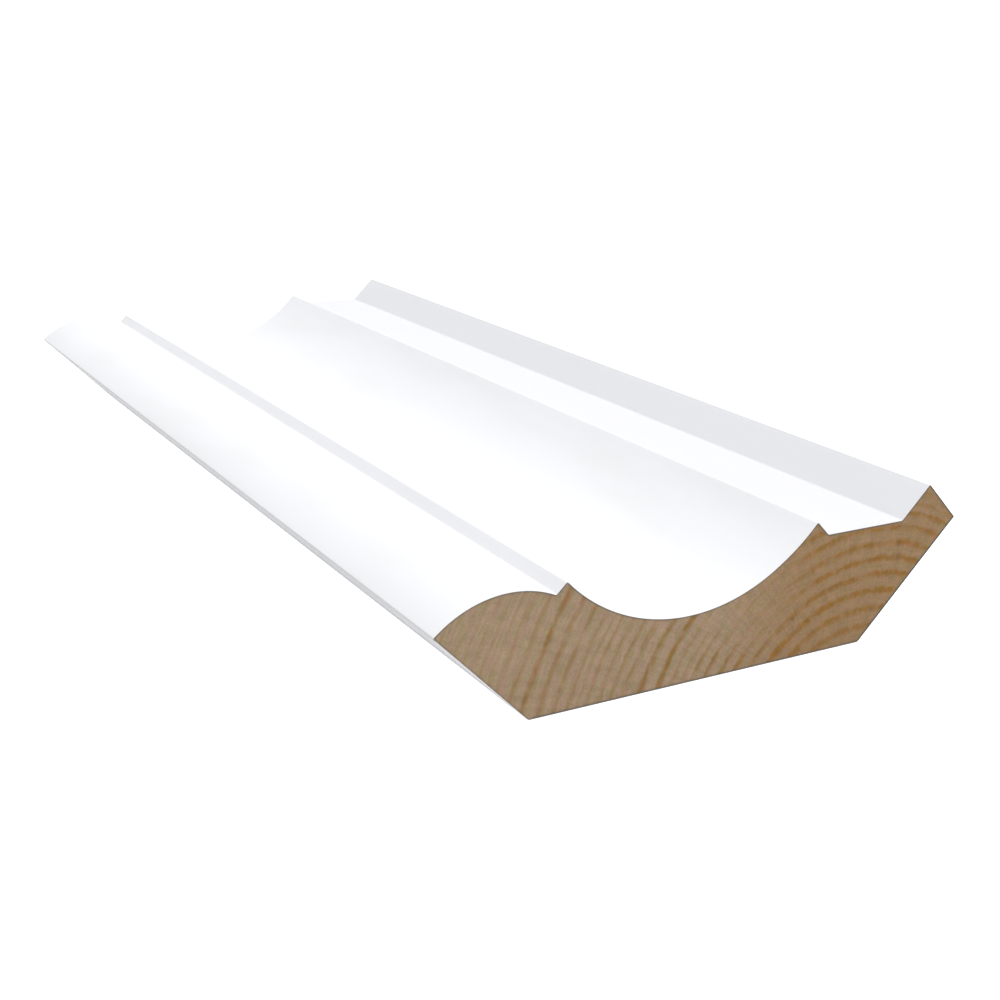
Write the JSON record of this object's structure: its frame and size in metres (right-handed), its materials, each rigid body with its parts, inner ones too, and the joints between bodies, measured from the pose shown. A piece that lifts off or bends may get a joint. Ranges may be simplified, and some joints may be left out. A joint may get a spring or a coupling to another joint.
{
  "type": "crown moulding length",
  "caption": "Straight cove crown moulding with a stepped lip and an ovolo, bevelled behind to spring between wall and ceiling, cut square at both ends.",
  "frame": {"origin": "middle of the flat back, which the piece lies on", "axes": "+X across the face from the wall side to the ceiling side, +Y along the length, +Z out of the flat back towards the face"},
  "size_m": [0.092, 0.2, 0.024],
  "materials": {
    "primed_pine": "satin white primer on every planed face, bare pine end grain where the two ends are sawn"
  },
  "bodies": {
    "root": {"crown_moulding": "primed_pine"}
  },
  "joints": []
}
